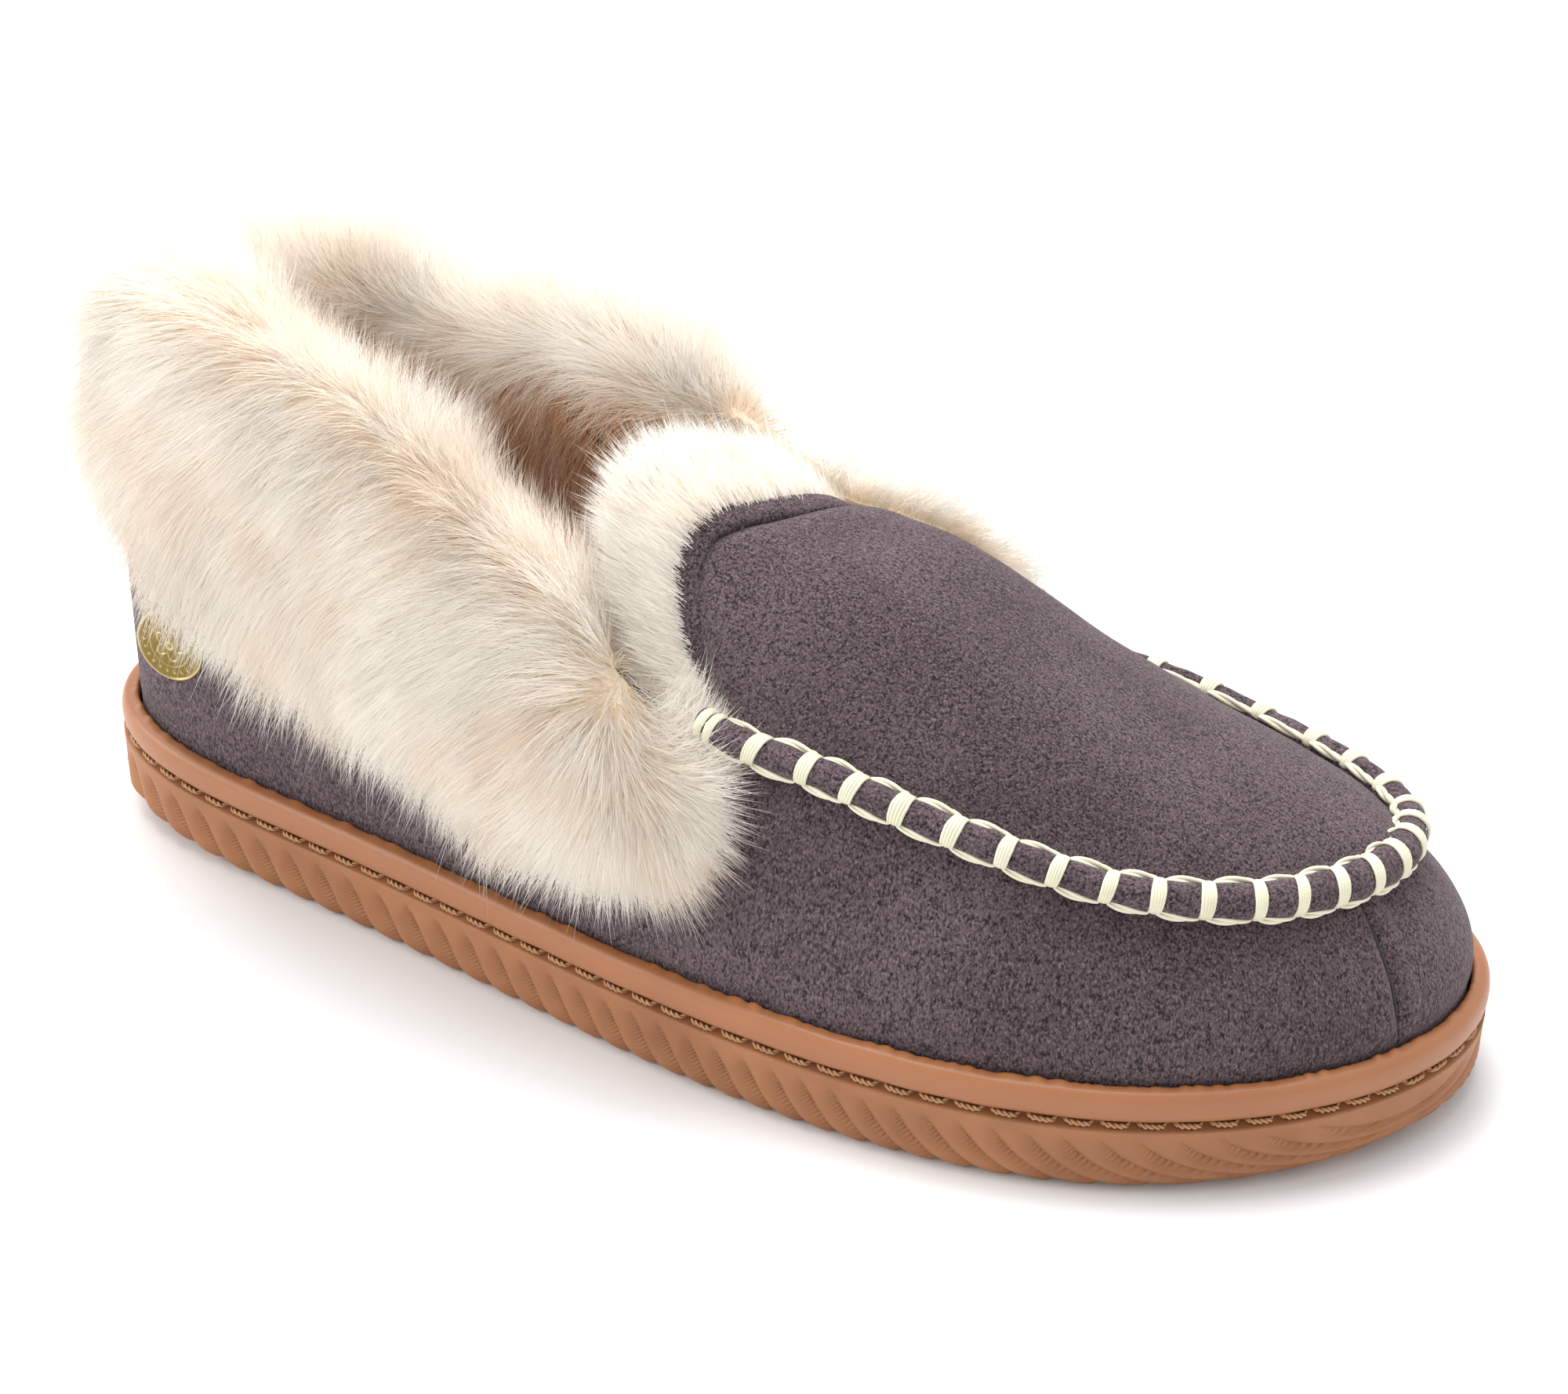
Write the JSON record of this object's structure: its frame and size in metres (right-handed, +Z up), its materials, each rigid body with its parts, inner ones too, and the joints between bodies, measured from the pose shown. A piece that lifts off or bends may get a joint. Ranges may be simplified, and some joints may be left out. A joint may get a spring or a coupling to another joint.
{
  "type": "fur-collared moccasin house slipper",
  "caption": "Right-foot moccasin house slipper: grey suede upper with whipstitched ridge, cream fur collar and lining, badge at the heel, tan ribbed rubber sole.",
  "frame": {"origin": "centre of the slipper's overall box, on the ground it stands on", "axes": "+X to the toe, +Y to the inner side of the foot, +Z up"},
  "size_m": [0.2762, 0.106, 0.1132],
  "materials": {
    "tan_rubber": "satin",
    "tan_rubber_gloss": "satin",
    "bronze_thread": "satin",
    "foam": "matte",
    "fibre_board": "matte",
    "grey_suede": "matte",
    "cream_fur": "matte",
    "stiffener": "matte",
    "woven_tape": "matte",
    "cotton_cord": "matte",
    "ivory_thread": "satin",
    "dark_thread": "matte",
    "pale_brass": "satin",
    "steel": "satin"
  },
  "bodies": {
    "root": {"outsole": "tan_rubber", "sole_rim": "tan_rubber_gloss", "sole_stitch_thread": "bronze_thread", "midsole_filler": "foam", "insole_board": "fibre_board", "footbed_foam": "foam", "plush_sock": "cream_fur", "side_panel_outer": "grey_suede", "side_panel_inner": "grey_suede", "front_seam_thread": "dark_thread", "back_seam_thread": "dark_thread", "heel_counter": "stiffener", "toe_puff": "stiffener", "quarter_lining": "cream_fur", "vamp_lining": "cream_fur", "topline_tape": "woven_tape", "ridge_cover": "grey_suede", "ridge_cord": "cotton_cord", "whipstitch_thread": "ivory_thread", "apron": "grey_suede", "apron_binding": "grey_suede", "binding_thread": "dark_thread", "apron_lining": "cream_fur", "fur_collar": "cream_fur", "badge_disc": "pale_brass", "badge_washer": "steel"}
  },
  "joints": []
}
